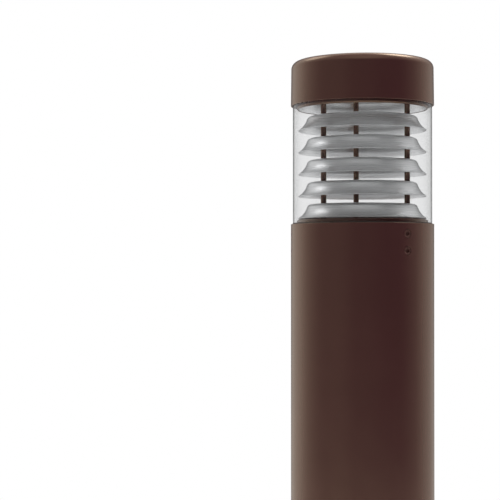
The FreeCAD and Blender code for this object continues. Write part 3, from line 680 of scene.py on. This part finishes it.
def build_spacers():
    """The painted sleeves on the three rods, one row under each louvre and under the reflector."""
    for row in range(1, LOUVRE_COUNT + 2):
        node = f"spacer_row_{row}"
        low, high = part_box(node)
        sleeves = []
        for angle in ROD_ANGLES:
            centre = polar(ROD_CIRCLE_R, angle)
            sleeves.append(lathe("sleeve", [
                Corner(ROD_HOLE_R, low.z, EDGE / 2), Corner(SPACER_R, low.z, EDGE),
                Corner(SPACER_R, high.z, EDGE), Corner(ROD_HOLE_R, high.z, EDGE / 2)], 40, centre))
        spacers = join(f"spacer_row_{row}_sleeves", sleeves)
        weigh_normals(spacers)
        stands_for(spacers, "head", BRONZE, "bronze_paint", node)


# ------------------------------------------------------------------ cap
def build_cap():
    """A shallow drum, open below, with a rounded top edge and sides that lean in a little."""
    top = cap_high.z
    top_r = OUTER_R - (top - cap_low.z) * math.tan(CAP_DRAFT)
    ceiling = top - CAP_ROOF
    step = carrier_high.z - CAP_STEP_DROP
    cap = lathe("cap_shell", [
        Corner(CAP_LENS_BORE_R, cap_low.z, EDGE), Corner(OUTER_R, cap_low.z, EDGE),
        Corner(top_r, top, CAP_FILLET, 16), Corner(0, top), Corner(0, ceiling),
        Corner(CAP_BORE_R, ceiling, CAP_INNER_FILLET, 8), Corner(CAP_BORE_R, step, EDGE),
        Corner(CAP_LENS_BORE_R, step, EDGE)], FINE_LATHE_STEPS)
    weigh_normals(cap)
    stands_for(cap, "head", BRONZE, "bronze_paint", "cap")


# ------------------------------------------------------------------ camera, lights and floor
CAMERA_AZIMUTH = -7.6
CAMERA_DISTANCE = 1.616
CAMERA_BELOW_SHAFT_TOP = 42.7 * MM
CAMERA_PITCH = 0.458
CAMERA_YAW = 4.613          # turned to the left, so the light stands right of the middle
CAMERA_FOCAL_LENGTH = 100.2  # in millimetres, as Blender takes it
CAMERA_SENSOR = 36
LIGHT_PLACE = (0.4, -0.3, 2.6)
LIGHT_SIZE = 1.4
LIGHT_WATTS = 16
FLOOR_R = 2.6
FLOOR_GAP = 0.5 * MM        # the floor lies this far under the foot
FLOOR_FADE = (0.35, 1.5)    # distances at which it starts and ends fading to white


def build_camera():
    azimuth = math.radians(CAMERA_AZIMUTH)
    data = bpy.data.cameras.new("camera")
    data.lens = CAMERA_FOCAL_LENGTH
    data.sensor_width = CAMERA_SENSOR
    camera = bpy.data.objects.new("camera", data)
    camera.location = (
        CAMERA_DISTANCE * math.sin(azimuth), -CAMERA_DISTANCE * math.cos(azimuth),
        SHAFT_TOP - CAMERA_BELOW_SHAFT_TOP)
    heading = azimuth + math.radians(CAMERA_YAW)
    camera.rotation_euler = (math.radians(90 + CAMERA_PITCH), 0, heading)
    bpy.context.scene.collection.objects.link(camera)
    bpy.context.scene.camera = camera


def build_world():
    """A studio that only reflections see, light behind the object and dim in front; the eye sees white."""
    world = bpy.data.worlds.new("studio")
    bpy.context.scene.world = world
    world.use_nodes = True
    tree = world.node_tree
    tree.nodes.clear()

    def add(kind, **settings):
        return add_node(tree, kind, **settings)

    def towards(azimuth, elevation):
        """How nearly a ray goes a given way, as a cosine; azimuth 0 is straight behind the light."""
        heading = math.radians(azimuth - CAMERA_AZIMUTH)
        rise = math.radians(elevation)
        node = add("ShaderNodeVectorMath", operation="DOT_PRODUCT")
        tree.links.new(coordinates.outputs["Generated"], node.inputs[0])
        node.inputs[1].default_value = (
            math.sin(heading) * math.cos(rise), math.cos(heading) * math.cos(rise), math.sin(rise))
        return node.outputs["Value"]

    def lobe(azimuth, elevation, inner, outer, strength):
        """A soft round light, or a shade if negative, with the angles at its plateau and its foot."""
        foot, plateau = math.cos(math.radians(outer)), math.cos(math.radians(inner))
        return ramp(towards(azimuth, elevation), foot, plateau, 0.0, strength)

    def ramp(value, low, high, to_low, to_high):
        """A smooth step from one strength to another."""
        node = add("ShaderNodeMapRange", interpolation_type="SMOOTHSTEP")
        for key, number in zip(("From Min", "From Max", "To Min", "To Max"), (low, high, to_low, to_high)):
            node.inputs[key].default_value = number
        tree.links.new(value, node.inputs["Value"])
        return node.outputs["Result"]

    def total(values):
        running = values[0]
        for value in values[1:]:
            node = add("ShaderNodeMath", operation="ADD")
            tree.links.new(running, node.inputs[0])
            tree.links.new(value, node.inputs[1])
            running = node.outputs["Value"]
        return running

    coordinates = add("ShaderNodeTexCoord")
    surroundings = total([
        # the general light from behind, a shade in its middle, and a weak light from the front left
        ramp(towards(0, 0), -0.45, 0.6, 0.09, 0.88),
        lobe(0, 3, 8, 34, -0.28),
        lobe(-122, 0, 12, 50, 0.13),
        # the ceiling: lighter overhead, a little darker at its very top
        ramp(towards(0, 90), 0.25, 0.65, 0.0, 0.30),
        ramp(towards(0, 90), 0.80, 0.95, 0.0, -0.2),
        # lights and shades behind and round the sides, which model the upright surfaces
        lobe(0, 22, 12, 40, -0.5),
        lobe(110, 0, 25, 65, -0.06),
        lobe(62, 0, 10, 45, -0.18),
        lobe(-50, 0, 8, 34, 0.18),
        # lamps high up, which make the highlights on the louvres and the rounded edges
        lobe(-61, 48, 4, 18, 2.6),
        lobe(40, 55, 4, 20, 1.0),
        lobe(46, 58, 8, 16, 7.0),
        lobe(0, 62, 5, 16, 0.9),
        lobe(180, 52, 14, 38, 0.32),
    ])
    studio = add("ShaderNodeBackground")
    tree.links.new(surroundings, studio.inputs["Strength"])
    plain = add("ShaderNodeBackground")
    plain.inputs["Color"].default_value = (1, 1, 1, 1)
    path = add("ShaderNodeLightPath")
    mix = add("ShaderNodeMixShader")
    tree.links.new(path.outputs["Is Camera Ray"], mix.inputs["Fac"])
    tree.links.new(studio.outputs["Background"], mix.inputs[1])
    tree.links.new(plain.outputs["Background"], mix.inputs[2])
    output = add("ShaderNodeOutputWorld")
    tree.links.new(mix.outputs["Shader"], output.inputs["Surface"])


def build_light():
    """A soft fill from above, for the floor and the matt surfaces; it leaves no gloss."""
    data = bpy.data.lights.new("top_box", "AREA")
    data.shape = "SQUARE"
    data.size = LIGHT_SIZE
    data.energy = LIGHT_WATTS
    light = bpy.data.objects.new("top_box", data)
    light.location = LIGHT_PLACE
    aim = Vector((0, 0, SHAFT_TOP)) - Vector(LIGHT_PLACE)
    light.rotation_euler = aim.to_track_quat("-Z", "Y").to_euler()
    light.visible_glossy = False
    light.visible_transmission = False
    bpy.context.scene.collection.objects.link(light)


def build_floor():
    """A pale disc of floor just under the foot, which fades to the white surroundings at its edge."""
    work = bmesh.new()
    bmesh.ops.create_circle(work, cap_ends=True, segments=128, radius=FLOOR_R)
    mesh = bpy.data.meshes.new("floor")
    work.to_mesh(mesh)
    work.free()
    floor = mesh_object("floor", mesh)
    floor.location.z = -FLOOR_GAP
    maker = Maker("pale_floor")
    maker.colour(maker.blend(maker.spread(maker.noise(3, 3), 0, 1), *FLOOR_TONES))
    maker.set(Roughness=0.7)
    glow = maker.add("ShaderNodeEmission")
    distance = maker.add("ShaderNodeVectorMath", operation="LENGTH")
    maker.link(maker.place, distance.inputs[0])
    fade = maker.spread(distance.outputs["Value"], 0, 1, *FLOOR_FADE)
    maker.mix_into_output(fade, maker.shader.outputs["BSDF"], glow.outputs["Emission"])
    mesh.materials.append(maker.material)


# ------------------------------------------------------------------ build
bpy.context.scene.view_settings.view_transform = "Standard"
build_camera()
build_world()
build_light()
build_floor()
finish_cad_nodes()
build_shaft()
build_set_screws()
build_lens()
build_louvres()
build_spacers()
build_cap()
